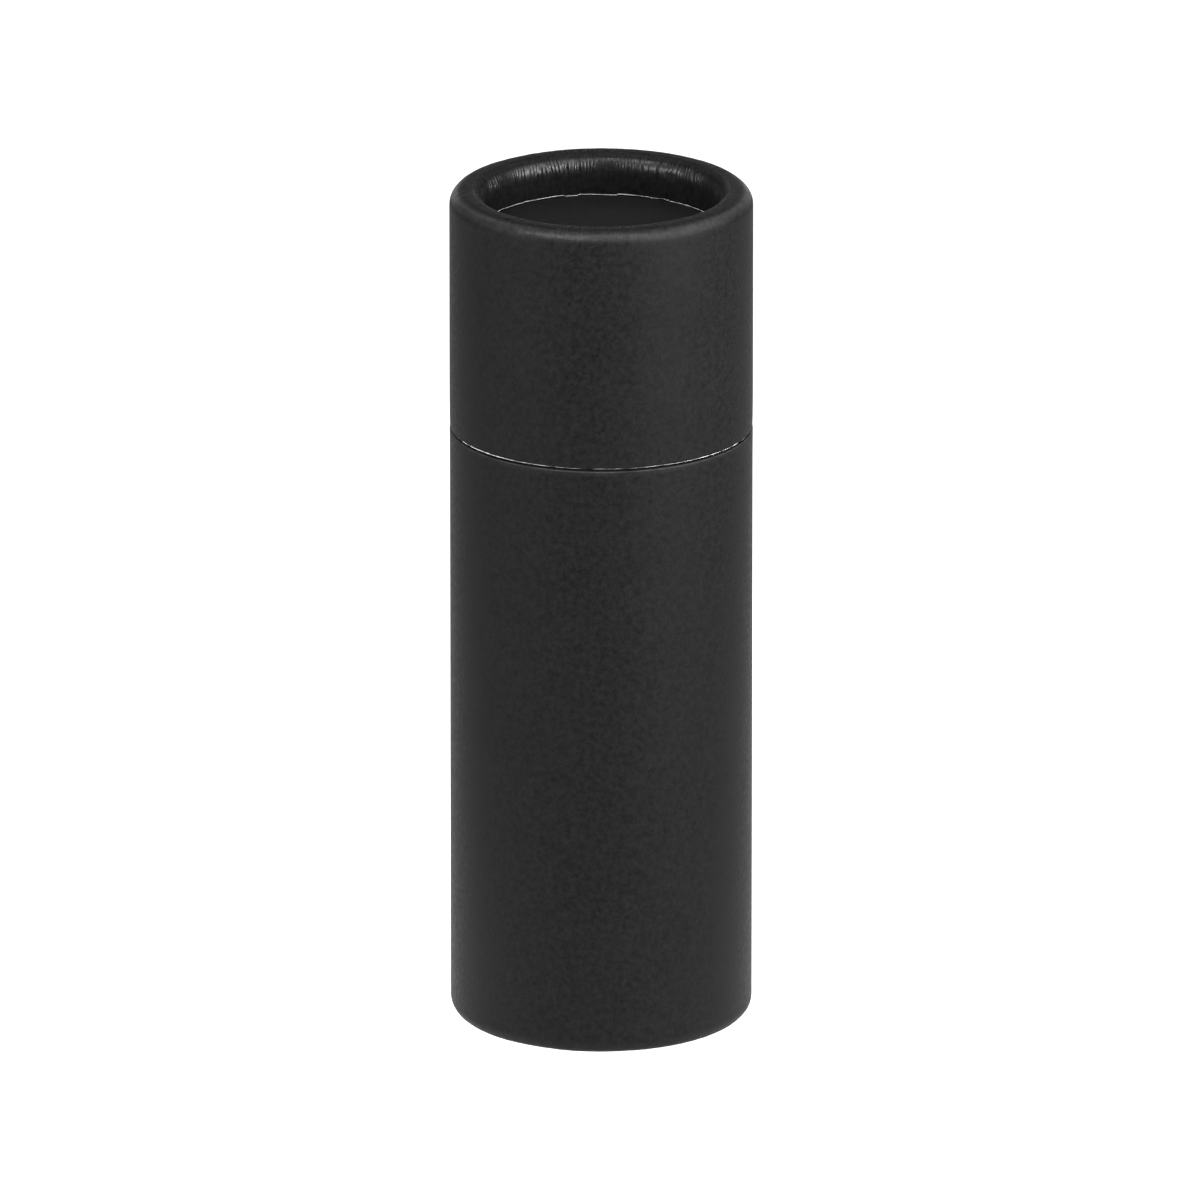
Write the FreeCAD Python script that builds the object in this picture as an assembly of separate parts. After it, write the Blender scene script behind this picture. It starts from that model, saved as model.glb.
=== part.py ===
"""A cylindrical gift tube box covered in black paper: a body with a neck, and a lid that pulls off it.

The lid and the body are cut from the same wound board tube, covered with paper outside and lined inside.
The closed end of each is rolled over into a rim whose inner leg turns back down the bore, and a papered
disc is glued in behind that leg. The neck is a narrower tube glued inside the body. It stands on the base
disc, rises out of the body's cut edge, and the lid slides over it.

Lengths are in millimetres. The origin is the centre of the rim that the box stands on, and +Z points up.
"""

import FreeCAD
import Part

import math
import os

# Overall sizes
OUTER_DIAMETER = 38.0
CLOSED_HEIGHT = 108.0
LID_HEIGHT = 30.75
NECK_RISE = 18.0

# Sheet thicknesses
COVER_PAPER = 0.16
LINING_PAPER = 0.12
TUBE_BOARD = 1.2
NECK_BOARD = 1.0
DISC_BOARD = 1.5

# Rolled rim: the two inside radii of the fold, the flat between them, and the leg that turns back down
WALL_FOLD_RADIUS = 0.6
LEG_FOLD_RADIUS = 0.1
RIM_LAND = 0.75
LEG_LEAN_DEGREES = 5.0
RECESS_DEPTH = 5.5

# Edges of the cover paper: the bevel that bares its pale core at a cut, and the lap of the sheet on itself
RAW_EDGE = 0.18
LAP_WIDTH = 8.0

# Fits and glue
GLUE_LINE = 0.04
DISC_CLEARANCE = 0.1
NECK_CLEARANCE = 0.12
PARTING_GAP = 0.3

# Radii, from the outside in
COVER_RADIUS = OUTER_DIAMETER / 2
TUBE_RADIUS = COVER_RADIUS - COVER_PAPER - GLUE_LINE
TUBE_BORE = TUBE_RADIUS - TUBE_BOARD
LINING_RADIUS = TUBE_BORE - GLUE_LINE
LINING_BORE = LINING_RADIUS - LINING_PAPER
NECK_COVER_RADIUS = LINING_BORE - NECK_CLEARANCE
NECK_COVER_BORE = NECK_COVER_RADIUS - COVER_PAPER
NECK_RADIUS = NECK_COVER_BORE - GLUE_LINE
NECK_BORE = NECK_RADIUS - NECK_BOARD
NECK_LINING_RADIUS = NECK_BORE - GLUE_LINE
NECK_LINING_BORE = NECK_LINING_RADIUS - LINING_PAPER
DISC_RADIUS = TUBE_BORE - DISC_CLEARANCE

# Depths below a rim, down the leg, through the papered disc and into the tube
LEG_END = RECESS_DEPTH - GLUE_LINE
FACING_BACK = RECESS_DEPTH + COVER_PAPER
DISC_FRONT = FACING_BACK + GLUE_LINE
DISC_BACK = DISC_FRONT + DISC_BOARD
DISC_LINING_FRONT = DISC_BACK + GLUE_LINE
DISC_LINING_BACK = DISC_LINING_FRONT + LINING_PAPER
TUBE_FLOOR = DISC_LINING_BACK + GLUE_LINE
BODY_CUT = CLOSED_HEIGHT - LID_HEIGHT - PARTING_GAP
NECK_TOP = BODY_CUT + NECK_RISE

# The fold turns the sheets round these two centres, so every sheet's bend is concentric with the others
STACK = COVER_PAPER + GLUE_LINE + TUBE_BOARD
WALL_BEND = WALL_FOLD_RADIUS + STACK
LEG_BEND = LEG_FOLD_RADIUS + STACK
WALL_BEND_CENTRE = COVER_RADIUS - WALL_BEND
LEG_BEND_CENTRE = WALL_BEND_CENTRE - RIM_LAND

FULL_TURN = 360.0
BACK_DEGREES = 90.0
ORIGIN = FreeCAD.Vector(0, 0, 0)
UP = FreeCAD.Vector(0, 0, 1)
OUT_FOLDER = "parts"


class ClosedEnd:
    """The rolled end of a tube. Depths are counted from its rim into the tube."""

    def __init__(self, rim_height, inward):
        self.rim_height = rim_height
        self.inward = inward

    def point(self, radius, depth):
        return FreeCAD.Vector(radius, 0, self.rim_height + self.inward * depth)


BASE_END = ClosedEnd(0, 1)
LID_END = ClosedEnd(CLOSED_HEIGHT, -1)


def spin(edges, turn=FULL_TURN):
    """One solid from a closed outline in the XZ plane, turned about the tube's axis."""
    solid = Part.Face(Part.Wire(edges)).revolve(ORIGIN, UP, turn)
    if solid.Volume < 0:
        solid.reverse()
    return solid


def outline(points):
    """The straight edges of a closed outline through these points."""
    return [Part.LineSegment(a, b).toShape() for a, b in zip(points, points[1:] + points[:1])]


def sleeve(end, radius, bore, near, far, turn=FULL_TURN):
    """A straight tube between two depths."""
    corners = [end.point(radius, near), end.point(radius, far), end.point(bore, far), end.point(bore, near)]
    return spin(outline(corners), turn)


def plate(end, near, far):
    """A round sheet or board of the disc's size between two depths."""
    return sleeve(end, DISC_RADIUS, 0, near, far)


def bend(end, centre_radius, centre_depth, radius, start, stop):
    """An arc of the rim's outline. Angles are in degrees: 0 points outwards, 90 points out of the rim."""

    def on_arc(degrees):
        angle = math.radians(degrees)
        return end.point(centre_radius + radius * math.cos(angle), centre_depth - radius * math.sin(angle))

    return Part.Arc(on_arc(start), on_arc((start + stop) / 2), on_arc(stop)).toShape()


def rolled_path(end, inset, cut, leg_end):
    """Edges of one face of a sheet: up the wall from its cut edge, over the rim and down the leg."""
    wall = bend(end, WALL_BEND_CENTRE, WALL_BEND, WALL_BEND - inset, 0, 90)
    leg_turn = 180 + LEG_LEAN_DEGREES
    leg = bend(end, LEG_BEND_CENTRE, LEG_BEND, LEG_BEND - inset, 90, leg_turn)
    wall_start, wall_stop = wall.Vertexes[0].Point, wall.Vertexes[-1].Point
    leg_start, leg_stop = leg.Vertexes[0].Point, leg.Vertexes[-1].Point
    foot = end.point(COVER_RADIUS - inset, cut)
    lean = math.tan(math.radians(LEG_LEAN_DEGREES))
    leg_reach = leg_end - abs(leg_stop.z - end.rim_height)
    tip = end.point(leg_stop.x + leg_reach * lean, leg_end)
    edges = [
        Part.LineSegment(foot, wall_start).toShape(),
        wall,
        Part.LineSegment(wall_stop, leg_start).toShape(),
        leg,
        Part.LineSegment(leg_stop, tip).toShape(),
    ]
    return foot, edges, tip


def rolled_sheet(end, inset, thickness, cut, leg_end, cut_bevel=0, leg_bevel=0):
    """A sheet that lines the wall and follows the rolled rim, with its outer face at this inset.

    A bevel leaves the outer face short of the sheet's edge at the cut or at the leg's end.
    """
    outer_foot, outer, outer_tip = rolled_path(end, inset, cut - cut_bevel, leg_end - leg_bevel)
    inner_foot, inner, inner_tip = rolled_path(end, inset + thickness, cut, leg_end)
    tip_edge = Part.LineSegment(outer_tip, inner_tip).toShape()
    foot_edge = Part.LineSegment(inner_foot, outer_foot).toShape()
    return spin(outer + [tip_edge] + inner[::-1] + [foot_edge])


def cover(end, cut, cut_bevel):
    """The cover paper of one tube, with the lap of its sheet up the back of the straight wall."""
    paper = rolled_sheet(end, 0, COVER_PAPER, cut, LEG_END, cut_bevel, RAW_EDGE)
    lap_turn = math.degrees(LAP_WIDTH / COVER_RADIUS)
    lap = sleeve(end, COVER_RADIUS + COVER_PAPER, COVER_RADIUS, WALL_BEND, cut - cut_bevel, lap_turn)
    lap.rotate(ORIGIN, UP, BACK_DEGREES - lap_turn / 2)
    return paper.fuse(lap).removeSplitter()


def board_tube(end, cut):
    """The wound board tube of the lid or the body, rolled over at its closed end."""
    return rolled_sheet(end, COVER_PAPER + GLUE_LINE, TUBE_BOARD, cut, LEG_END)


def tube_lining(end, cut):
    """The lining paper in the bore of the lid or the body, from the disc to the cut edge."""
    return sleeve(end, LINING_RADIUS, LINING_BORE, TUBE_FLOOR, cut)


def papered_disc(end):
    """The disc behind a rim: its facing paper, its board and the lining on its back."""
    facing = plate(end, RECESS_DEPTH, FACING_BACK)
    board = plate(end, DISC_FRONT, DISC_BACK)
    lining = plate(end, DISC_LINING_FRONT, DISC_LINING_BACK)
    return facing, board, lining


def lid_pieces():
    facing, board, lining = papered_disc(LID_END)
    return {
        "lid_cover": cover(LID_END, LID_HEIGHT, RAW_EDGE),
        "lid_tube": board_tube(LID_END, LID_HEIGHT),
        "lid_lining": tube_lining(LID_END, LID_HEIGHT),
        "lid_disc_facing": facing,
        "lid_disc": board,
        "lid_disc_lining": lining,
    }


def body_pieces():
    facing, board, lining = papered_disc(BASE_END)
    return {
        "body_cover": cover(BASE_END, BODY_CUT, 0),
        "body_tube": board_tube(BASE_END, BODY_CUT),
        "body_lining": tube_lining(BASE_END, BODY_CUT),
        "base_disc_facing": facing,
        "base_disc": board,
        "base_disc_lining": lining,
    }


def neck_sleeve(radius, bore):
    """One sheet of the neck, from the inside floor to the neck's top."""
    return sleeve(BASE_END, radius, bore, TUBE_FLOOR, NECK_TOP)


def neck_pieces():
    return {
        "neck_cover": neck_sleeve(NECK_COVER_RADIUS, NECK_COVER_BORE),
        "neck_tube": neck_sleeve(NECK_RADIUS, NECK_BORE),
        "neck_lining": neck_sleeve(NECK_LINING_RADIUS, NECK_LINING_BORE),
    }


def main():
    os.makedirs(OUT_FOLDER, exist_ok=True)
    for name, solid in {**lid_pieces(), **body_pieces(), **neck_pieces()}.items():
        solid.exportStep(os.path.join(OUT_FOLDER, name + ".step"))


main()
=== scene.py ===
"""The looks of a slim gift tube box: black paper over rolled rims, pale cut edges and a papered neck.

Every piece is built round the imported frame, in metres, with the tube's axis on Z and the front at -Y.
"""

import math

import bmesh
import bpy
import numpy as np
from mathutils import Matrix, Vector


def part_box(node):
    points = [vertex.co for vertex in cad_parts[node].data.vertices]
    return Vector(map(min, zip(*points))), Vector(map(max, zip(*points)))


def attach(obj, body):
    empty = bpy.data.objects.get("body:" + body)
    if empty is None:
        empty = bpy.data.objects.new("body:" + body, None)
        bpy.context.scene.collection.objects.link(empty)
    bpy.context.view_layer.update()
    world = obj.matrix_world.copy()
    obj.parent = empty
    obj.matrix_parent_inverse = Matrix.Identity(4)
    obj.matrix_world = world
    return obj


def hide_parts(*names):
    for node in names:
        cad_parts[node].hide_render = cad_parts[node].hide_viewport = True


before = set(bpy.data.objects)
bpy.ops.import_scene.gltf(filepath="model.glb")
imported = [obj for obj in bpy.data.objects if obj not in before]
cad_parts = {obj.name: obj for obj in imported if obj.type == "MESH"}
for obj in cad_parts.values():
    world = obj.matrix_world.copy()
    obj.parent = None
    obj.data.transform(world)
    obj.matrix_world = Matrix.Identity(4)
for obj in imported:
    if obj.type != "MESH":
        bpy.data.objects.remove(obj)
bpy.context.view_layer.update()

MM = 0.001
TAU = 2 * math.pi
QUARTER_TURN = math.pi / 2
FRONT = -QUARTER_TURN
BACK = QUARTER_TURN


def outer_radius(node):
    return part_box(node)[1].x


def low(node):
    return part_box(node)[0].z


def high(node):
    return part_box(node)[1].z


# Sheets
COVER_PAPER = 0.16 * MM
LINING_PAPER = 0.12 * MM
TUBE_BOARD = 1.2 * MM
NECK_BOARD = 1.0 * MM
COVER_RADIUS = outer_radius("body_cover")
TUBE_RADIUS = outer_radius("body_tube")
GLUE_LINE = COVER_RADIUS - COVER_PAPER - TUBE_RADIUS

# Heights
HEIGHT = high("lid_cover")
LID_CUT = low("lid_tube")
BODY_CUT = high("body_tube")
RECESS_DEPTH = HEIGHT - high("lid_disc_facing")

# Rolled rim: its outer bend, its land, its inner bend and the leg that turns back down
WALL_BEND = 2.0 * MM
RIM_LAND = 0.75 * MM
LEG_BEND = 1.5 * MM
LEG_DROP = 2.3 * MM
LEG_LEAN = math.radians(5.0)
LEG_END = RECESS_DEPTH - GLUE_LINE
WALL_BEND_CENTRE = COVER_RADIUS - WALL_BEND
LEG_BEND_CENTRE = WALL_BEND_CENTRE - RIM_LAND

# Lap of the cover paper, up the back
LAP_WIDTH = 8.0 * MM
LAP_RAMP = 1.6 * MM
LAP_RISE = 0.15 * MM

# The seam: the lid's paper draws in at its cut, the body's flares out, and the knife presses its corner down
LID_TUCK = 0.055 * MM
LID_TUCK_REACH = 1.3 * MM
BODY_FLARE = 0.03 * MM
BODY_FLARE_REACH = 2.6 * MM
BODY_CORNER = 0.22 * MM
BODY_PRESS = 0.3 * MM
PRESS_SHARES = (0.72, 1.0)

# How far a face turns outwards, from where it starts to count as wall to where it is all wall
WALL_FACING_SHARES = (0.3, 1.0)

# The core that the knife bared at the lid's cut. Sides are in degrees from the front
LID_RAW_EDGE = 0.085 * MM
LID_RAW_SLOPE = 0.03 * MM
BITE_FRONT_SHARE = 0.26
BITE_SIDE_SHARE = 0.3
BITE_LEFT_SHARE = 0.65
BITE_BACK_SHARE = 0.3
BITE_SIDE_STARTS = (8, 42)
BITE_SIDE_STOPS = (62, 82)
BITE_BACK_STARTS = (85, 110)
BITE_LEFT_SIDE = -52
BITE_LEFT_SPREAD = 10
BITE_WANDER_SHARE = 0.22
BITE_NICK_SHARES = (0.02, 0.2)
BITE_IN_NICK_SHARE = 0.45
BITE_LEAST_SHARE = 0.05

# The leg's foot: runs of paper between creases, with their bared edge, and the board shy of them
LEG_RAW_EDGE = 0.07 * MM
RAW_AT_CREASE_SHARE = 0.08
RAW_MIDDLE_SHARE = 0.85
RAW_WANDER_SHARE = 0.12
RAW_SHARES = (0.3, 1.1)
NICK_WIDTH = 0.11 * MM
NICK_CORE = 0.4 * NICK_WIDTH
EDGE_JOG = 0.18 * MM
EDGE_TILT_SHARE = 0.35
BOARD_SHY = 0.4 * MM

# Pleats pressed into the paper where the rim is rolled inwards, and creases that run on down the leg
PLEAT_DEPTH = 0.08 * MM
PLEAT_SLANT = 900.0
PLEAT_SHARPNESS = 1.3
PLEAT_LEVEL_SHARE = 0.75
PLEAT_FACING_SHARES = (0.1, 0.75)
PLEAT_FADE = (2.8 * MM, 4.0 * MM)
PLEAT_FADE_SHARE = 0.6
PATCH_MIDDLE_SHARE = 0.85
PATCH_WANDER_SHARE = 0.35
PATCH_SHARES = (0.3, 1.25)
CREASES = 52
CREASE_DEPTH = 0.09 * MM
CREASE_WIDTH = 0.16 * MM
CREASE_SLANT = 0.12

# Dips in the top of the rim and ripples over its outer bend
RIM_DIP = 0.02 * MM
RIM_RIPPLE = 0.005 * MM
DIP_UP_SHARES = (0.1, 0.9)
RIPPLE_UP_SHARES = (0.2, 0.6)
RIPPLE_OUT_SHARES = (0.0, 0.3)

# Waves round the tube: how many, and the fewest and the most crests that one of them has
BITE_WAVES = (18, 8, 60)
NICK_WAVES = (24, 12, 60)
PLEAT_WAVES = (56, 50, 128)
PATCH_WAVES = (10, 6, 26)
DIP_WAVES = (9, 2, 14)
RIPPLE_WAVES = (24, 18, 70)
RAW_WAVES = (14, 9, 60)
SAG_WAVES = (4, 1, 4)

# Seeds, and what a cover adds to its own for each of its draws
LID_SEED = 11
BODY_SEED = 71
BITE_SEED = 41
FIRST_DISC_SEED = 5
EDGE_DRAW = 3
RAW_DRAW = 5
RIPPLE_DRAW = 7

# Where the die burnished, glossed and grooved the paper, and where the paper is painted lighter, partly as
# wear and partly as a painted highlight, by how far a face turns up, in or down
OUTER_RISE_SHARES = (0.25, 0.6)
OUTER_FADE_SHARES = (0.8, 0.97)
INNER_RISE_SHARES = (0.0, 0.1)
INNER_FADE_SHARES = (0.35, 0.5)
CORNER_RISE_SHARES = (0.05, 0.3)
CORNER_FADE_SHARES = (0.6, 0.95)
GROOVE_RISE_SHARES = (0.45, 0.8)
ROLL_RISE_SHARES = (0.8, 0.93)
ROLL_FADE = (2.7 * MM, 3.6 * MM)
ROLL_FADE_SHARE = 0.85
ROLL_GLOSS_SHARE = 0.65
LID_GLOSS_SHARE = 0.15
LID_BURNISH_SHARE = 0.75
BODY_BURNISH_SHARE = 0.2
INNER_BURNISH_SHARE = 0.5
CORNER_BURNISH_SHARE = 0.4
# Lighter paint over the lid's outer bend, round the body's top corner and just below it: partly rubbed
# paper, partly a painted highlight
LID_WEAR_AND_HIGHLIGHT_SHARE = 0.3
CORNER_WEAR_AND_HIGHLIGHT_SHARE = 0.95
FOOT_WEAR_AND_HIGHLIGHT_SHARE = 0.15

# Wound board at its cut edges
TUBE_PLIES = 5
NECK_PLIES = 4
PLY_GROOVE = 0.05 * MM
PLY_SHARPNESS = 8

# Paper sleeves: the step at a seam, and the height of one turn of a spiral seam
NECK_SEAM_STEP = 0.06 * MM
LINING_SEAM_STEP = 0.05 * MM
NECK_LINING_LEAD = 62 * MM
LID_LINING_LEAD = 66 * MM

# Paper discs, which sag by a share of their thickness
SAG_SHARE = 0.3
SAG_MIDDLE_SHARE = 0.5
SAG_WANDER_SHARE = 0.25

# Resolution: rows up the wall, over the outer bend, over the inner bend and down the leg
COVER_FACE_ROWS = (8, 12, 20, 12)
COVER_BACK_ROWS = (2, 5, 5, 2)
TUBE_ROWS = (6, 10, 10, 3)
WALL_ROW_POWER = 2.5
CORNER_FACE_ROWS = 4
CORNER_BACK_ROWS = 2
PLY_ROWS = 61
SLEEVE_ROWS = 72
DISC_ROWS = 40
COVER_COLUMNS = 1440
TUBE_COLUMNS = 360
SLEEVE_COLUMNS = 240
DISC_COLUMNS = 360

# Meshes: the weld of doubled points, the sharpest smooth edge, and the texture map's room for each face
WELD = 1e-9
SHARP_EDGE = math.radians(35)
HIDDEN_ROOM_SHARE = 0.1
UPPER_MAP_SHARE = 0.25
LOWER_MAP_SHARE = 0.75
DISC_MAP_WIDTH_SHARE = 0.24
DISC_MAP_HEIGHT_SHARE = 0.48
MAP_MIDDLE_SHARE = 0.5


def smooth(value, start, stop):
    """0 before start, 1 after stop, and an S curve between them."""
    t = np.clip((value - start) / (stop - start), 0, 1)
    return t * t * (3 - 2 * t)


def turned(angle):
    """The same angle between -180 and 180 degrees, in radians."""
    return (angle + math.pi) % TAU - math.pi


def angles(columns):
    """The angle of each column round the tube."""
    return np.arange(columns) * TAU / columns


class Waves:
    """Seeded waves that close round the tube. along shifts each wave's phase down the sheet."""

    def __init__(self, seed, count, fewest, most, slant=0.0):
        draw = np.random.default_rng(seed)
        self.turns = draw.integers(fewest, most + 1, count)
        self.phases = draw.uniform(0, TAU, count)
        self.slants = draw.normal(0, slant, count) if slant else np.zeros(count)

    def at(self, angle, along=0.0):
        total = 0.0
        for turns, phase, slant in zip(self.turns, self.phases, self.slants):
            total = total + np.cos(turns * angle + slant * along + phase)
        return total / math.sqrt(len(self.turns) / 2)


class RolledFace:
    """Rows down one face of a rolled sheet: up the wall from its cut edge, over the rim, down the leg.

    Depth counts from the rim into the tube, and past_rim is the distance on from the inner end of the land.
    A corner rounds the face off at its cut edge.
    """

    def __init__(self, inset, cut, leg_end, rows, corner=0.0, corner_rows=CORNER_FACE_ROWS):
        wall_rows, over_rows, under_rows, leg_rows = rows
        share = np.linspace(0, 1, wall_rows) ** WALL_ROW_POWER
        foot = cut - corner
        wall = np.stack([np.full(wall_rows, COVER_RADIUS - inset), foot - (foot - WALL_BEND) * share])
        wall_normal = np.stack([np.ones(wall_rows), np.zeros(wall_rows)])
        over, over_normal = self.bend(
            WALL_BEND_CENTRE, WALL_BEND, WALL_BEND, inset, 0, QUARTER_TURN, over_rows,
        )
        under_stop = math.pi + math.atan(math.tan(LEG_LEAN) * (LEG_DROP - inset) / (LEG_BEND - inset))
        under, under_normal = self.bend(
            LEG_BEND_CENTRE, LEG_BEND, LEG_DROP, inset, QUARTER_TURN, under_stop, under_rows,
        )
        start = under[:, -1]
        reach = np.linspace(0, 1, leg_rows + 1)[1:] * (leg_end - start[1])
        leg = np.stack([start[0] + reach * math.tan(LEG_LEAN), start[1] + reach])
        leg_normal = np.repeat(under_normal[:, -1:], leg_rows, axis=1)
        parts = [wall, over[:, 1:], under, leg]
        normals = [wall_normal, over_normal[:, 1:], under_normal, leg_normal]
        if corner:
            angle = np.linspace(-QUARTER_TURN, 0, corner_rows)[:-1]
            turn = np.stack([np.cos(angle), -np.sin(angle)])
            parts.insert(0, np.array([[COVER_RADIUS - inset - corner], [foot]]) + corner * turn)
            normals.insert(0, turn)
        self.radius, self.depth = np.concatenate(parts, axis=1)
        self.normal_radius, self.normal_depth = np.concatenate(normals, axis=1)
        steps = np.hypot(np.diff(self.radius), np.diff(self.depth))
        travel = np.concatenate([[0], np.cumsum(steps)])
        self.past_rim = travel - travel[len(self.radius) - leg_rows - under_rows]
        self.facing_up = -self.normal_depth
        self.facing_in = -self.normal_radius

    @staticmethod
    def bend(centre, reach, drop, inset, start, stop, rows):
        """Points and normals over a bend that reaches one way and drops the other."""
        angle = np.linspace(start, stop, rows)
        turn = np.stack([np.cos(angle), -np.sin(angle)])
        span = np.array([[reach - inset], [drop - inset]])
        normal = turn / span
        return np.array([[centre], [drop]]) + span * turn, normal / np.hypot(*normal)


def map_round(mesh, radius, height, closed, shown):
    """Texture map of rows and columns: the angle one way, the distance along the rows' path the other.

    Rows past the first shown ones lie between the sheets and take less room. A disc, which starts at its
    middle, is laid out flat, with its two faces side by side.
    """
    rows, columns = radius.shape
    bands = rows if closed else rows - 1
    row = np.repeat(np.arange(bands), columns)[:, None] + np.array([0, 0, 1, 1])
    column = np.tile(np.arange(columns), bands)[:, None] + np.array([0, 1, 1, 0])
    if closed:
        out = np.diff(radius[:, 0], append=radius[0, 0])
        rise = np.diff(height[:, 0], append=height[0, 0])
        step = np.hypot(out, rise) * np.where(np.arange(rows) < shown, 1.0, HIDDEN_ROOM_SHARE)
        along = np.concatenate([[0], np.cumsum(step)]) / step.sum()
        spots = np.stack([column / columns, along[row]], axis=-1)
    else:
        share = radius[row, 0] / radius.max()
        turn = TAU * column / columns
        side = np.where(row.max(axis=1, keepdims=True) < rows / 2, UPPER_MAP_SHARE, LOWER_MAP_SHARE)
        across = side + DISC_MAP_WIDTH_SHARE * share * np.cos(turn)
        up = MAP_MIDDLE_SHARE + DISC_MAP_HEIGHT_SHARE * share * np.sin(turn)
        spots = np.stack([across, up], axis=-1)
    layer = mesh.uv_layers.new(name="OFBake")
    layer.data.foreach_set("uv", spots.astype(np.float32).ravel())


def weld(mesh):
    """Joins doubled points, turns every face outwards and smooths all but the sharp edges."""
    welded = bmesh.new()
    welded.from_mesh(mesh)
    bmesh.ops.remove_doubles(welded, verts=welded.verts, dist=WELD)
    bmesh.ops.recalc_face_normals(welded, faces=welded.faces)
    welded.to_mesh(mesh)
    welded.free()
    mesh.shade_smooth()
    mesh.set_sharp_from_angle(angle=SHARP_EDGE)


def round_mesh(name, radius, height, closed, band_slots, materials, shift=0.0, layers=None, shown=None):
    """A mesh of rows and columns round Z. radius and height are (rows, columns) arrays.

    Where closed, the last row joins the first. band_slots gives the material slot of each band of faces,
    layers the values that the materials read, row by row, and shown how many rows can be seen, if not all.
    """
    rows, columns = radius.shape
    angle = angles(columns) + shift
    height = np.broadcast_to(height, radius.shape)
    points = np.stack([radius * np.cos(angle), radius * np.sin(angle), height], axis=-1)
    bands = rows if closed else rows - 1
    row, column = np.meshgrid(np.arange(bands), np.arange(columns), indexing="ij")
    this_row = row * columns
    next_row = (row + 1) % rows * columns
    beside = (column + 1) % columns
    corners = [this_row + column, this_row + beside, next_row + beside, next_row + column]
    faces = np.stack(corners, axis=-1).reshape(-1, 4)
    mesh = bpy.data.meshes.new(name)
    mesh.from_pydata(points.reshape(-1, 3).tolist(), [], faces.tolist())
    for material in materials:
        mesh.materials.append(material)
    slots = np.repeat(np.asarray(band_slots, dtype=np.int32), columns)
    mesh.polygons.foreach_set("material_index", slots)
    for layer, values in (layers or {}).items():
        spread = np.repeat(values, columns).astype(np.float32)
        mesh.attributes.new(layer, "FLOAT", "POINT").data.foreach_set("value", spread)
    map_round(mesh, radius, height, closed, rows if shown is None else shown)
    weld(mesh)
    piece = bpy.data.objects.new(name, mesh)
    bpy.context.scene.collection.objects.link(piece)
    return piece


def place(piece, node, body, slot):
    """A new piece stands for its CAD node and rides on its body. slot is not used."""
    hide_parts(node)
    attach(piece, body)
    return piece


# Materials

# Grains: the width of a mark, how many finer layers it has, and how strong these are
COVER_MOTTLE = (0.7 * MM, 5.0, 0.75)
COVER_CLOUDS = (9 * MM, 2.0, 0.55)
# The next grain breaks the lighter paint, partly wear and partly a painted highlight, into patches
COVER_WEAR_AND_HIGHLIGHT = (1.3 * MM, 4.0, 0.6)
COVER_BURNISH = (0.4 * MM, 3.0, 0.55)
COVER_STREAKS = (0.45 * MM, 4.0, 0.7)
COVER_TOOTH = (0.16 * MM, 3.0, 0.55)
COVER_DENTS = (0.6 * MM, 3.0, 0.6)
CORE_STAIN = (0.5 * MM, 4.0, 0.65)
CORE_TOOTH = (0.08 * MM, 3.0, 0.55)
DISC_GRAIN = (0.6 * MM, 4.0, 0.55)
DISC_TOOTH = (0.15 * MM, 3.0, 0.55)
DISC_WAVE = (3 * MM, 2.0, 0.55)
NECK_RUBS = (0.9 * MM, 4.0, 0.6)
NECK_TOOTH = (0.16 * MM, 3.0, 0.55)
BOARD_PULP = (0.5 * MM, 5.0, 0.65)
BOARD_SPECKS = (0.12 * MM, 2.0, 0.55)
BOARD_FIBRES = (0.15 * MM, 4.0, 0.6)
DARK_EDGE_PULP = (0.4 * MM, 5.0, 0.65)
LINING_PULP = (1.2 * MM, 5.0, 0.6)
LINING_CLOUDS = (12 * MM, 2.0, 0.55)
LINING_TOOTH = (0.25 * MM, 4.0, 0.6)
FLOOR_CLOUDS = (40 * MM, 2.0, 0.55)
NECK_RUB_STRETCH = (1, 1, 0.1)

# Grooves across the rim: a grain of the bearing, so its width is a share of the radius
GROOVE_WIDTH = 0.2 * MM
GROOVES = (GROOVE_WIDTH / WALL_BEND_CENTRE, 2.0, 0.5)

# Relief: how deep a grain lies, and how strongly it shows
COVER_TOOTH_RELIEF = (0.045 * MM, 0.9)
COVER_DENT_RELIEF = (0.05 * MM, 0.5)
GROOVE_RELIEF = (0.22 * MM, 1.0)
CORE_RELIEF = (0.02 * MM, 0.4)
DISC_TOOTH_RELIEF = (0.02 * MM, 0.3)
DISC_WAVE_RELIEF = (0.05 * MM, 0.2)
NECK_TOOTH_RELIEF = (0.02 * MM, 0.3)
NECK_RUB_RELIEF = (0.03 * MM, 0.2)
BOARD_RELIEF = (0.04 * MM, 0.6)
LINING_RELIEF = (0.03 * MM, 0.4)

# Colours, dark and light
COVER_COLOURS = ((0.0003, 0.0003, 0.0003), (0.0315, 0.0315, 0.0315))
CORE_COLOURS = ((0.2, 0.2, 0.2), (0.8, 0.8, 0.8))
DISC_COLOURS = ((0.0023, 0.0023, 0.0023), (0.0064, 0.0064, 0.0065))
NECK_COLOURS = ((0.003, 0.003, 0.003), (0.0075, 0.0075, 0.0075))
BOARD_COLOURS = ((0.2, 0.172, 0.135), (0.45, 0.4, 0.33))
DARK_EDGE_COLOURS = ((0.004, 0.004, 0.004), (0.015, 0.014, 0.013))
LINING_COLOURS = ((0.62, 0.595, 0.545), (0.76, 0.745, 0.705))
FLOOR_COLOURS = ((0.55, 0.55, 0.55), (0.57, 0.57, 0.57))

# The range that a noise's values mostly keep to, and the part of it over which the bared core is stained
NOISE_SHARES = (0.3, 0.7)
CORE_STAIN_SHARES = (0.36, 0.5)

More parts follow.
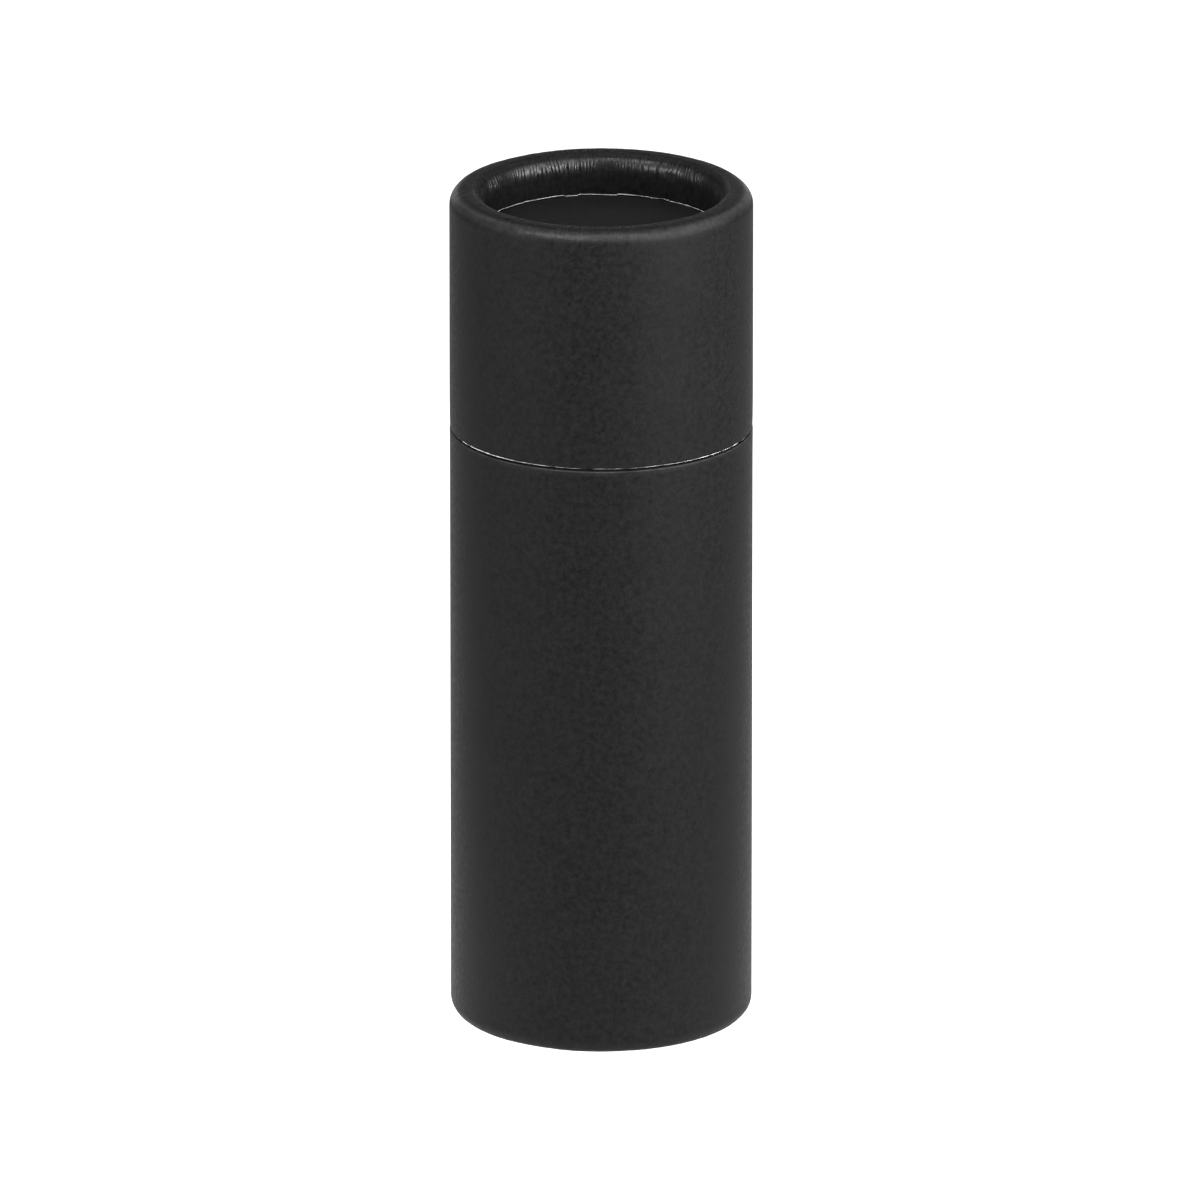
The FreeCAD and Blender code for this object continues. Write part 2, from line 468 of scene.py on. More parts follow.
# What a grain gives to the tone, the wear with its painted highlight, or the gloss, from its lows to its
# highs
WHOLE_SHARES = (0.0, 1.0)
COVER_MOTTLE_SHARES = (0.0, 0.24)
COVER_CLOUD_SHARES = (0.0, 0.02)
COVER_WEAR_AND_HIGHLIGHT_SHARES = (0.25, 1.0)
COVER_STREAK_SHARES = (0.4, 1.3)
BOARD_PULP_SHARES = (0.1, 0.75)
BOARD_SPECK_SHARES = (-0.15, 0.25)
LINING_PULP_SHARES = (0.0, 0.6)
LINING_CLOUD_SHARES = (0.0, 0.4)

# Roughness, from a grain's lows to its highs
WALL_ROUGHNESS = (0.44, 0.66)
BURNISHED_ROUGHNESS = (0.28, 0.38)
DISC_ROUGHNESS = (0.6, 0.7)
NECK_ROUGHNESS = (0.66, 0.5)
LINING_ROUGHNESS = (0.7, 0.85)


class Paint:
    """A material under construction, with short calls for the nodes that the papers share."""

    def __init__(self, name):
        self.material = bpy.data.materials.new(name)
        self.material.use_nodes = True
        self.nodes = self.material.node_tree.nodes
        self.links = self.material.node_tree.links
        self.shader = self.nodes["Principled BSDF"]
        self.place = self.nodes.new("ShaderNodeTexCoord").outputs["Object"]

    def set(self, **values):
        for socket, value in values.items():
            self.shader.inputs[socket.replace("_", " ")].default_value = value

    def feed(self, socket, output):
        self.links.new(output, self.shader.inputs[socket])

    def stretched(self, x, y, z):
        node = self.nodes.new("ShaderNodeMapping")
        node.inputs["Scale"].default_value = (x, y, z)
        self.links.new(self.place, node.inputs["Vector"])
        return node.outputs["Vector"]

    def bearing(self):
        """The place as a direction from the tube's axis, the same all along a line from it."""
        node = self.nodes.new("ShaderNodeVectorMath")
        node.operation = "NORMALIZE"
        self.links.new(self.stretched(1, 1, 0), node.inputs[0])
        return node.outputs["Vector"]

    def noise(self, size, detail, roughness, place=None):
        """Noise whose features are about this size across, in the units of the place."""
        node = self.nodes.new("ShaderNodeTexNoise")
        node.inputs["Scale"].default_value = 1 / size
        node.inputs["Detail"].default_value = detail
        node.inputs["Roughness"].default_value = roughness
        self.links.new(place or self.place, node.inputs["Vector"])
        return node.outputs["Fac"]

    def spread(self, value, low_out, high_out, low_in=NOISE_SHARES[0], high_in=NOISE_SHARES[1]):
        """The value, spread from one range to another."""
        node = self.nodes.new("ShaderNodeMapRange")
        self.links.new(value, node.inputs["Value"])
        node.inputs["From Min"].default_value = low_in
        node.inputs["From Max"].default_value = high_in
        node.inputs["To Min"].default_value = low_out
        node.inputs["To Max"].default_value = high_out
        return node.outputs["Result"]

    def combine(self, kind, first, second):
        node = self.nodes.new("ShaderNodeMath")
        node.operation = kind
        self.links.new(first, node.inputs[0])
        self.links.new(second, node.inputs[1])
        return node.outputs["Value"]

    def shade(self, value, dark, light):
        """A colour between two, by a value from 0 to 1."""
        node = self.nodes.new("ShaderNodeValToRGB")
        node.color_ramp.elements[0].color = (*dark, 1)
        node.color_ramp.elements[1].color = (*light, 1)
        self.links.new(value, node.inputs["Fac"])
        return node.outputs["Color"]

    def blend(self, value, first, second):
        node = self.nodes.new("ShaderNodeMix")
        node.data_type = "FLOAT"
        self.links.new(value, node.inputs["Factor"])
        self.links.new(first, node.inputs["A"])
        self.links.new(second, node.inputs["B"])
        return node.outputs["Result"]

    def distance(self, point, place=None):
        node = self.nodes.new("ShaderNodeVectorMath")
        node.operation = "DISTANCE"
        node.inputs[1].default_value = point
        self.links.new(place or self.place, node.inputs[0])
        return node.outputs["Value"]

    def layer(self, name):
        node = self.nodes.new("ShaderNodeAttribute")
        node.attribute_name = name
        return node.outputs["Fac"]

    def bump(self, height, distance, strength, over=None):
        """Relief of this height, laid over another."""
        node = self.nodes.new("ShaderNodeBump")
        node.inputs["Strength"].default_value = strength
        node.inputs["Distance"].default_value = distance
        self.links.new(height, node.inputs["Height"])
        if over is not None:
            self.links.new(over, node.inputs["Normal"])
        return node.outputs["Normal"]


def cover_paper():
    """Matte black paper with a fine tooth. Where it is rolled inwards the die has left it glossier. It is
    painted lighter over the lid's outer bend and round the body's top corner: partly rubbed paper, partly a
    painted highlight.
    """
    paint = Paint("cover_paper")
    paint.set(Specular_IOR_Level=0.071, Coat_Roughness=0.3, Coat_IOR=1.55)
    mottle = paint.noise(*COVER_MOTTLE)
    clouds = paint.spread(paint.noise(*COVER_CLOUDS), *COVER_CLOUD_SHARES)
    # Painted lighter in patches over the lid's outer bend and the body's top corner: partly rubbed paper,
    # partly a painted highlight
    rub_and_highlight = paint.spread(paint.noise(*COVER_WEAR_AND_HIGHLIGHT), *COVER_WEAR_AND_HIGHLIGHT_SHARES)
    worn_and_highlight = paint.combine("MULTIPLY", paint.layer("wear_and_highlight"), rub_and_highlight)
    tone = paint.combine("ADD", paint.spread(mottle, *COVER_MOTTLE_SHARES), clouds)
    tone = paint.combine("ADD", tone, worn_and_highlight)
    paint.feed("Base Color", paint.shade(tone, *COVER_COLOURS))
    wall = paint.spread(mottle, *WALL_ROUGHNESS)
    burnished = paint.spread(paint.noise(*COVER_BURNISH), *BURNISHED_ROUGHNESS)
    paint.feed("Roughness", paint.blend(paint.layer("burnish"), wall, burnished))
    streaks = paint.spread(paint.noise(*COVER_STREAKS), *COVER_STREAK_SHARES)
    paint.feed("Coat Weight", paint.combine("MULTIPLY", paint.layer("rolled"), streaks))
    tooth = paint.bump(paint.noise(*COVER_TOOTH), *COVER_TOOTH_RELIEF)
    creep = paint.combine("MULTIPLY", paint.noise(*GROOVES, paint.bearing()), paint.layer("grooved"))
    grooves = paint.bump(creep, *GROOVE_RELIEF, tooth)
    paint.feed("Normal", paint.bump(paint.noise(*COVER_DENTS), *COVER_DENT_RELIEF, grooves))
    return paint.material


def paper_core():
    """The pale core of the cover paper at a cut, stained here and there by the black face."""
    paint = Paint("paper_core")
    paint.set(Specular_IOR_Level=0.2, Roughness=0.85)
    stain = paint.spread(paint.noise(*CORE_STAIN), *WHOLE_SHARES, *CORE_STAIN_SHARES)
    paint.feed("Base Color", paint.shade(stain, *CORE_COLOURS))
    paint.feed("Normal", paint.bump(paint.noise(*CORE_TOOTH), *CORE_RELIEF))
    return paint.material


def disc_paper():
    """Smooth black facing paper."""
    paint = Paint("disc_paper")
    paint.set(Specular_IOR_Level=0.08)
    grain = paint.noise(*DISC_GRAIN)
    paint.feed("Base Color", paint.shade(paint.spread(grain, *WHOLE_SHARES), *DISC_COLOURS))
    paint.feed("Roughness", paint.spread(grain, *DISC_ROUGHNESS))
    tooth = paint.bump(paint.noise(*DISC_TOOTH), *DISC_TOOTH_RELIEF)
    paint.feed("Normal", paint.bump(paint.noise(*DISC_WAVE), *DISC_WAVE_RELIEF, tooth))
    return paint.material


def neck_paper():
    """Black paper rubbed along its length by the lid."""
    paint = Paint("neck_paper")
    paint.set(Specular_IOR_Level=0.09)
    rubs = paint.noise(*NECK_RUBS, paint.stretched(*NECK_RUB_STRETCH))
    paint.feed("Base Color", paint.shade(paint.spread(rubs, *WHOLE_SHARES), *NECK_COLOURS))
    paint.feed("Roughness", paint.spread(rubs, *NECK_ROUGHNESS))
    tooth = paint.bump(paint.noise(*NECK_TOOTH), *NECK_TOOTH_RELIEF)
    paint.feed("Normal", paint.bump(rubs, *NECK_RUB_RELIEF, tooth))
    return paint.material


def board():
    """Grey-brown wound board with dark and pale fibres."""
    paint = Paint("board")
    paint.set(Specular_IOR_Level=0.15, Roughness=0.9)
    pulp = paint.spread(paint.noise(*BOARD_PULP), *BOARD_PULP_SHARES)
    specks = paint.spread(paint.noise(*BOARD_SPECKS), *BOARD_SPECK_SHARES)
    paint.feed("Base Color", paint.shade(paint.combine("ADD", pulp, specks), *BOARD_COLOURS))
    paint.feed("Normal", paint.bump(paint.noise(*BOARD_FIBRES), *BOARD_RELIEF))
    return paint.material


def dark_board_edge():
    """The cut edge of the board, near black, with paler fibres here and there."""
    paint = Paint("dark_board_edge")
    paint.set(Specular_IOR_Level=0.15, Roughness=0.85)
    pulp = paint.noise(*DARK_EDGE_PULP)
    paint.feed("Base Color", paint.shade(paint.spread(pulp, *WHOLE_SHARES), *DARK_EDGE_COLOURS))
    paint.feed("Normal", paint.bump(paint.noise(*BOARD_FIBRES), *BOARD_RELIEF))
    return paint.material


def lining_paper():
    """Plain off-white lining paper."""
    paint = Paint("lining_paper")
    paint.set(Specular_IOR_Level=0.25)
    pulp = paint.noise(*LINING_PULP)
    clouds = paint.spread(paint.noise(*LINING_CLOUDS), *LINING_CLOUD_SHARES)
    tone = paint.combine("ADD", paint.spread(pulp, *LINING_PULP_SHARES), clouds)
    paint.feed("Base Color", paint.shade(tone, *LINING_COLOURS))
    paint.feed("Roughness", paint.spread(pulp, *LINING_ROUGHNESS))
    paint.feed("Normal", paint.bump(paint.noise(*LINING_TOOTH), *LINING_RELIEF))
    return paint.material


# Cover papers


def lap_rise(angle):
    """How far the lap lifts the paper, round the back: a cut edge on one side, a slope on the other."""
    across = turned(angle - BACK) * COVER_RADIUS
    inside = np.abs(across) < LAP_WIDTH / 2
    slope = 1 - smooth(across, LAP_WIDTH / 2 - LAP_RAMP, LAP_WIDTH / 2)
    return LAP_RISE * np.where(inside, slope, 0.0)


def knife_bite(angle, seed):
    """How much of the lid's edge the knife bared: least in front, more at the sides, most on the left."""
    side = np.degrees(turned(angle - FRONT))
    off = np.abs(side)
    sides = BITE_SIDE_SHARE * smooth(off, *BITE_SIDE_STARTS) * (1 - smooth(off, *BITE_SIDE_STOPS))
    left = BITE_LEFT_SHARE * np.exp(-(((side - BITE_LEFT_SIDE) / BITE_LEFT_SPREAD) ** 2))
    behind = BITE_BACK_SHARE * smooth(off, *BITE_BACK_STARTS)
    wander = 1 + BITE_WANDER_SHARE * Waves(seed, *BITE_WAVES).at(angle)
    clear = smooth(np.abs(Waves(seed + 1, *NICK_WAVES).at(angle)), *BITE_NICK_SHARES)
    nicked = BITE_IN_NICK_SHARE + (1 - BITE_IN_NICK_SHARE) * clear
    return np.clip((BITE_FRONT_SHARE + sides + left + behind) * wander * nicked, BITE_LEAST_SHARE, 1.0)


class RimEdge:
    """The paper's cut edge at the foot of the leg: short runs between creases, each at its own height."""

    def __init__(self, seed):
        draw = np.random.default_rng(seed)
        self.places = np.sort(draw.uniform(0, TAU, CREASES))
        self.depths = draw.uniform(0.0, 1.0, CREASES) ** 2
        self.slants = draw.normal(0, CREASE_SLANT, CREASES)
        self.jogs = draw.uniform(0.0, 1.0, CREASES + 1)
        self.jogs[-1] = self.jogs[0]
        self.tilts = draw.normal(0, EDGE_TILT_SHARE, CREASES + 1)
        self.tilts[-1] = self.tilts[0]

    def run_lift(self, angle):
        """How far the edge stands off the disc."""
        run = np.searchsorted(self.places, angle)
        start = np.concatenate([[self.places[-1] - TAU], self.places])[run]
        stop = np.concatenate([self.places, [self.places[0] + TAU]])[run]
        off_middle = (angle - start) / (stop - start) - 1 / 2
        return EDGE_JOG * np.clip(self.jogs[run] + self.tilts[run] * off_middle, 0.0, 1.0)

    def away(self, angle):
        """Distance round the leg to the nearest crease."""
        gaps = np.abs(turned(angle[:, None] - self.places[None, :])) * LEG_BEND_CENTRE
        return gaps.min(axis=1)

    def bared(self, angle, seed):
        """Height of the bared core along the edge: next to nothing at a crease."""
        clear = smooth(self.away(angle), NICK_CORE, NICK_WIDTH)
        raw = LEG_RAW_EDGE * (RAW_AT_CREASE_SHARE + (1 - RAW_AT_CREASE_SHARE) * clear)
        wander = RAW_MIDDLE_SHARE + RAW_WANDER_SHARE * Waves(seed, *RAW_WAVES).at(angle)
        return raw * wander.clip(*RAW_SHARES)

    def valleys(self, angle, along):
        """Depth of the creases, as (rows, columns)."""
        total = np.zeros((len(along), len(angle)))
        for where, depth, slant in zip(self.places, self.depths, self.slants):
            across = turned(angle[None, :] - where) * LEG_BEND_CENTRE - slant * along[:, None]
            total = np.maximum(total, depth * np.exp(-((across / CREASE_WIDTH) ** 2)))
        return CREASE_DEPTH * total


def pleats(face, angle, seed, edge):
    """Height of the small pleats, as (rows, columns): sharp valleys between low swells."""
    along = face.past_rim
    field = Waves(seed, *PLEAT_WAVES, PLEAT_SLANT).at(angle[None, :], along[:, None])
    ridge = np.tanh(PLEAT_SHARPNESS * np.abs(field)) - PLEAT_LEVEL_SHARE
    patch = PATCH_MIDDLE_SHARE + PATCH_WANDER_SHARE * Waves(seed + 1, *PATCH_WAVES).at(angle)[None, :]
    rolled = smooth(face.facing_in, *PLEAT_FACING_SHARES)
    fading = 1 - PLEAT_FADE_SHARE * smooth(along, *PLEAT_FADE)
    swells = PLEAT_DEPTH * (rolled * fading)[:, None] * np.clip(patch, *PATCH_SHARES) * ridge
    return swells - rolled[:, None] * edge.valleys(angle, along)


def rim_ripple(face, angle, seed):
    """Slow dips in the top of the rim and small ripples over its outer bend. Never above the land."""
    dips = Waves(seed, *DIP_WAVES).at(angle)[None, :].clip(min=0)
    dips = RIM_DIP * smooth(face.facing_up, *DIP_UP_SHARES)[:, None] * dips
    ripple = Waves(seed + 1, *RIPPLE_WAVES, PLEAT_SLANT).at(angle[None, :], face.past_rim[:, None])
    on_bend = smooth(face.facing_up, *RIPPLE_UP_SHARES) * smooth(face.normal_radius, *RIPPLE_OUT_SHARES)
    return -dips + RIM_RIPPLE * on_bend[:, None] * ripple


def cover_back(cut, corner):
    """The glued face of a cover paper."""
    if corner:
        corner_radius = corner - COVER_PAPER
        return RolledFace(
            COVER_PAPER, cut - COVER_PAPER, LEG_END, COVER_BACK_ROWS, corner_radius, CORNER_BACK_ROWS,
        )
    return RolledFace(COVER_PAPER, cut, LEG_END, COVER_BACK_ROWS)


def lifted_face(face, cut, wall_lift, edge, seed):
    """Radius and depth of a cover's face, as (rows, columns), lifted by its pleats, ripples and lap."""
    angle = angles(COVER_COLUMNS)
    on_wall = smooth(face.normal_radius, *WALL_FACING_SHARES)
    lift = pleats(face, angle, seed, edge) + rim_ripple(face, angle, seed + RIPPLE_DRAW)
    lift = lift + on_wall[:, None] * (lap_rise(angle)[None, :] + wall_lift(cut - face.depth)[:, None])
    radius = face.radius[:, None] + lift * face.normal_radius[:, None]
    depth = (face.depth[:, None] + lift * face.normal_depth[:, None]).clip(min=0)
    return radius, depth


def add_back(radius, depth, back, edge, seed):
    """Takes a cover's rows on round the foot of the leg, with its bared core, and back up the glued face."""
    angle = angles(COVER_COLUMNS)
    stand_off = edge.run_lift(angle)
    raw = edge.bared(angle, seed)
    leg_foot = LEG_END - stand_off
    foot_radius = radius[-1] - stand_off * math.tan(LEG_LEAN)
    depth[-1] = leg_foot - raw
    radius[-1] = foot_radius - raw * math.tan(LEG_LEAN)
    shape = (len(back.radius), COVER_COLUMNS)
    back_radius = np.broadcast_to(back.radius[::-1, None], shape)
    back_depth = np.broadcast_to(back.depth[::-1, None], shape).copy()
    back_depth[0] -= stand_off
    radius = np.concatenate([radius, foot_radius[None, :], back_radius])
    depth = np.concatenate([depth, leg_foot[None, :], back_depth])
    return radius, depth


def cover(name, rim_height, inward, cut, corner, wall_lift, bite, seed, paper, core):
    """A cover paper with its rolled, pleated rim.

    wall_lift gives how far the wall stands off its radius at a distance from the cut. bite is the height of
    the bared core round the cut, or None where the knife has drawn the paper over the edge.
    """
    face = RolledFace(0.0, cut, LEG_END, COVER_FACE_ROWS, corner)
    back = cover_back(cut, corner)
    edge = RimEdge(seed + EDGE_DRAW)
    radius, depth = lifted_face(face, cut, wall_lift, edge, seed)
    radius, depth = add_back(radius, depth, back, edge, seed + RAW_DRAW)
    if bite is not None:
        depth[0] = cut - bite
        lip = np.full((1, COVER_COLUMNS), COVER_RADIUS - LID_TUCK - LID_RAW_SLOPE)
        radius = np.concatenate([radius, lip])
        depth = np.concatenate([depth, np.full(lip.shape, cut)])
    bands = np.zeros(len(radius), dtype=np.int32)
    bands[len(face.radius) - 1:len(face.radius) + 1] = 1
    bands[len(face.radius) + len(back.radius):] = 1
    return round_mesh(
        name, radius, rim_height + inward * depth, True, bands, [paper, core],
        layers=sheen(face, len(radius), bite is not None), shown=len(face.radius) + 1,
    )


def sheen(face, rows, lid):
    """Values for the paper's material, row by row: where the die burnished, glossed and grooved it, and
    where it is painted lighter, partly as wear and partly as a painted highlight.
    """
    up = face.facing_up
    inwards = face.facing_in
    outer = smooth(up, *OUTER_RISE_SHARES) * (1 - smooth(up, *OUTER_FADE_SHARES)) * (inwards < 0)
    inner = smooth(inwards, *INNER_RISE_SHARES) * (1 - smooth(inwards, *INNER_FADE_SHARES))
    corner = smooth(-up, *CORNER_RISE_SHARES) * (1 - smooth(-up, *CORNER_FADE_SHARES))
    foot = np.arange(len(up)) == np.argmax(face.normal_radius >= 1)
    burnish = (LID_BURNISH_SHARE if lid else BODY_BURNISH_SHARE) * outer
    burnish = np.maximum.reduce([burnish, INNER_BURNISH_SHARE * inner, CORNER_BURNISH_SHARE * corner])
    rolled = ROLL_GLOSS_SHARE * smooth(inwards, *ROLL_RISE_SHARES)
    rolled = rolled * (1 - ROLL_FADE_SHARE * smooth(face.past_rim, *ROLL_FADE))
    # Painted lighter round the body's top corner, on the row below it and over the lid's outer bend: partly
    # wear, partly a painted highlight
    wear_and_highlight = CORNER_WEAR_AND_HIGHLIGHT_SHARE * corner
    if lid:
        rolled = np.maximum(rolled, LID_GLOSS_SHARE * outer)
        wear_and_highlight = np.maximum(wear_and_highlight, LID_WEAR_AND_HIGHLIGHT_SHARE * outer)
    else:
        wear_and_highlight = np.maximum(wear_and_highlight, FOOT_WEAR_AND_HIGHLIGHT_SHARE * foot)
    grooved = smooth(up, *GROOVE_RISE_SHARES)
    layers = {"burnish": burnish, "rolled": rolled, "wear_and_highlight": wear_and_highlight, "grooved": grooved}
    return {name: np.pad(values, (0, rows - len(values))) for name, values in layers.items()}


def lid_cover(paper, core):
    def tuck(from_cut):
        return -LID_TUCK * np.exp(-from_cut / LID_TUCK_REACH)

    bite = LID_RAW_EDGE * knife_bite(angles(COVER_COLUMNS), BITE_SEED)
    piece = cover("lid_cover_paper", HEIGHT, -1, HEIGHT - LID_CUT, 0.0, tuck, bite, LID_SEED, paper, core)
    return place(piece, "lid_cover", "lid", "cover_paper")


def body_cover(paper, core):
    def flare(from_cut):
        return -BODY_FLARE * (1 - np.exp(-from_cut / BODY_FLARE_REACH))

    piece = cover("body_cover_paper", 0.0, 1, BODY_CUT, BODY_CORNER, flare, None, BODY_SEED, paper, core)
    return place(piece, "body_cover", "body", "cover_paper")


# Boards, linings and discs


def ply_edge(outer, inner, plies):
    """Rows across a cut edge of wound board: radius, and how far each point lies below the cut."""
    share = np.linspace(0, 1, PLY_ROWS)
    drop = PLY_GROOVE * np.abs(np.cos(math.pi * plies * share)) ** PLY_SHARPNESS
    return outer + (inner - outer) * share, drop


def spun(name, radius, height, columns, bands, materials):
    """A closed mesh from one outline, turned about the tube's axis."""
    shape = (len(radius), columns)
    radii = np.broadcast_to(radius[:, None], shape)
    return round_mesh(name, radii, height[:, None], True, bands, materials)


def rolled_tube(name, rim_height, inward, cut, press, material, edge_material):
    """A board tube rolled over at its closed end, with its plies showing at the cut edge.

    press is how far the knife has pushed down the outer corner of the cut.
    """
    inset = COVER_RADIUS - TUBE_RADIUS
    face = RolledFace(inset, cut - press, LEG_END - BOARD_SHY, TUBE_ROWS)
    back = RolledFace(inset + TUBE_BOARD, cut, LEG_END - BOARD_SHY, TUBE_ROWS)
    edge_radius, edge_drop = ply_edge(back.radius[0], face.radius[0], TUBE_PLIES)
    pressed = press * smooth(np.linspace(0, 1, PLY_ROWS), *PRESS_SHARES)
    edge_drop = np.maximum(edge_drop * (1 - pressed / BODY_PRESS), pressed)
    radius = np.concatenate([face.radius, back.radius[:0:-1], edge_radius[:-1]])
    depth = np.concatenate([face.depth, back.depth[:0:-1], (cut - edge_drop)[:-1]])
    bands = np.zeros(len(radius))
    bands[len(radius) - PLY_ROWS:] = 1
    return spun(name, radius, rim_height + inward * depth, TUBE_COLUMNS, bands, [material, edge_material])


def lid_tube(material):
    piece = rolled_tube("lid_board", HEIGHT, -1, HEIGHT - LID_CUT, 0.0, material, material)
    return place(piece, "lid_tube", "lid", "board")


def body_tube(material, edge_material):
    piece = rolled_tube("body_board", 0.0, 1, BODY_CUT, BODY_PRESS, material, edge_material)
    return place(piece, "body_tube", "body", "board")


def neck_tube(material):
    radius = outer_radius("neck_tube")
    bottom = low("neck_tube")
    edge_radius, edge_drop = ply_edge(radius, radius - NECK_BOARD, NECK_PLIES)
    rows = np.concatenate([[radius], edge_radius, [radius - NECK_BOARD]])
    heights = np.concatenate([[bottom], high("neck_tube") - edge_drop, [bottom]])
    piece = spun("neck_board", rows, heights, TUBE_COLUMNS, np.zeros(len(rows)), [material])
    return place(piece, "neck_tube", "body", "board")


def paper_sleeve(name, node, body, slot, thickness, lead, step, inside, material):
    """A rolled paper tube with the step of its seam on the side that shows.

    lead is the height of one turn of a spiral seam, or 0 for a seam straight up the back.
    """
    bottom = low(node)
    up = np.linspace(bottom, high(node), SLEEVE_ROWS)
    heights = np.concatenate([up, up[::-1]])[:, None]
    rise = step * np.arange(SLEEVE_COLUMNS) / SLEEVE_COLUMNS
    level = np.zeros(SLEEVE_COLUMNS)
    outer = outer_radius(node) - (level if inside else rise)
    inner = outer_radius(node) - thickness + (rise if inside else level)
    wall = np.concatenate([np.tile(outer, (SLEEVE_ROWS, 1)), np.tile(inner, (SLEEVE_ROWS, 1))])
    twist = TAU * (heights - bottom) / lead if lead else 0.0
    piece = round_mesh(name, wall, heights, True, np.zeros(len(heights)), [material], shift=BACK + twist)
    return place(piece, node, body, slot)


def sleeves(neck, lining):
    paper_sleeve(
        "neck_wrap", "neck_cover", "body", "neck_paper", COVER_PAPER, 0.0, NECK_SEAM_STEP, False, neck,
    )
    paper_sleeve(
        "neck_inside", "neck_lining", "body", "lining_paper", LINING_PAPER, NECK_LINING_LEAD,
        LINING_SEAM_STEP, True, lining,
    )
    paper_sleeve(
        "lid_inside", "lid_lining", "lid", "lining_paper", LINING_PAPER, LID_LINING_LEAD,
        LINING_SEAM_STEP, True, lining,
    )


def paper_disc(name, node, body, slot, material, seed):
    """A round sheet that lies not quite flat on the side that shows."""
    bottom = low(node)
    top = high(node)
    share = np.linspace(0, 1, DISC_ROWS)[:, None]
    wander = SAG_WANDER_SHARE * Waves(seed, *SAG_WAVES).at(angles(DISC_COLUMNS))[None, :] * share
    sag = (top - bottom) * SAG_SHARE * (1 - share ** 2) * (SAG_MIDDLE_SHARE + wander)
    shows_top = node in ("lid_disc_facing", "base_disc_lining")
    upper = top - sag if shows_top else np.full(sag.shape, top)
    lower = np.full(sag.shape, bottom) if shows_top else bottom + sag
    radii = np.broadcast_to(outer_radius(node) * share, sag.shape)
    rows = np.concatenate([radii, radii[::-1]])
    heights = np.concatenate([upper, lower[::-1]])
    piece = round_mesh(name, rows, heights, False, np.zeros(len(rows) - 1), [material])
    return place(piece, node, body, slot)


def discs(facing, lining):
    sheets = (
        ("lid_top_paper", "lid_disc_facing", "lid", "disc_paper", facing),
        ("lid_ceiling", "lid_disc_lining", "lid", "lining_paper", lining),
        ("base_under_paper", "base_disc_facing", "body", "disc_paper", facing),
        ("base_floor", "base_disc_lining", "body", "lining_paper", lining),
    )
    for seed, sheet in enumerate(sheets, FIRST_DISC_SEED):
        paper_disc(*sheet, seed)


def build_pieces():
    """Dresses every node. The two board discs and the body's lining keep their solids."""
    paper = cover_paper()
    core = paper_core()
    facing = disc_paper()
    neck = neck_paper()
    pulp = board()
    dark_edge = dark_board_edge()
    lining = lining_paper()
    lid_cover(paper, core)
    body_cover(paper, core)
    lid_tube(pulp)
    body_tube(pulp, dark_edge)
    neck_tube(pulp)
    sleeves(neck, lining)
    discs(facing, lining)
    for node, material in (("lid_disc", pulp), ("base_disc", pulp), ("body_lining", lining)):
        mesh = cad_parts[node].data
        mesh.materials.clear()
        mesh.materials.append(material)


# Stage, lights and camera

FLOOR_RADIUS = 8.0
FLOOR_SIDES = 96

# The floor's glow: under the tube, along the middle of the picture and aside of it, and where each fades
GLOW_UNDER = 0.48
GLOW_ALONG = 0.74
GLOW_ASIDE = 0.22
GLOW_CENTRE = Vector((-18.0, -6.0, 0.0)) * MM
GLOW_NEAR = 22 * MM
GLOW_FAR = 80 * MM
GLOW_SIDE_NEAR = 85 * MM
GLOW_SIDE_FAR = 150 * MM

# Soft boxes: degrees round from the camera and above level, metres, and watts
WORLD_STRENGTH = 0.02
OVERHEAD = dict(azimuth=0, elevation=78, distance=6.0, width=4.0, height=1.4, power=150)
RIGHT_STRIP = dict(azimuth=52, elevation=10, distance=0.45, width=0.24, height=0.16, power=2.8)
LEFT_STRIP = dict(azimuth=-56, elevation=10, distance=0.45, width=0.24, height=0.16, power=1.55)
RIGHT_BOX = dict(azimuth=62, elevation=44, distance=0.139, width=0.16, height=0.14, power=0.24)
RIGHT_TOP = dict(azimuth=40, elevation=58, distance=0.3, width=0.2, height=0.08, power=0.16)
LEFT_TOP = dict(azimuth=-40, elevation=58, distance=0.3, width=0.2, height=0.08, power=0.8)
LEFT_BOX = dict(azimuth=-92, elevation=14, distance=0.8, width=0.5, height=0.4, power=0.8)
BACK_BOX = dict(azimuth=180, elevation=4, distance=2.0, width=2.0, height=0.3, power=4)
BACK_TOP = dict(elevation=45, distance=2.0, width=1.0, height=1.0, power=7)
BACK_TOP_SIDES = (-140, 140)

CAMERA_AIM = Vector((-0.159, 0.0, 53.993)) * MM
CAMERA_DISTANCE = 3500 * MM
CAMERA_PITCH = math.radians(17.95)
CAMERA_REACH = 10 * FLOOR_RADIUS
PIXELS_PER_METRE = 7968.0
IMAGE_PIXELS = 1200
SENSOR = 36.0


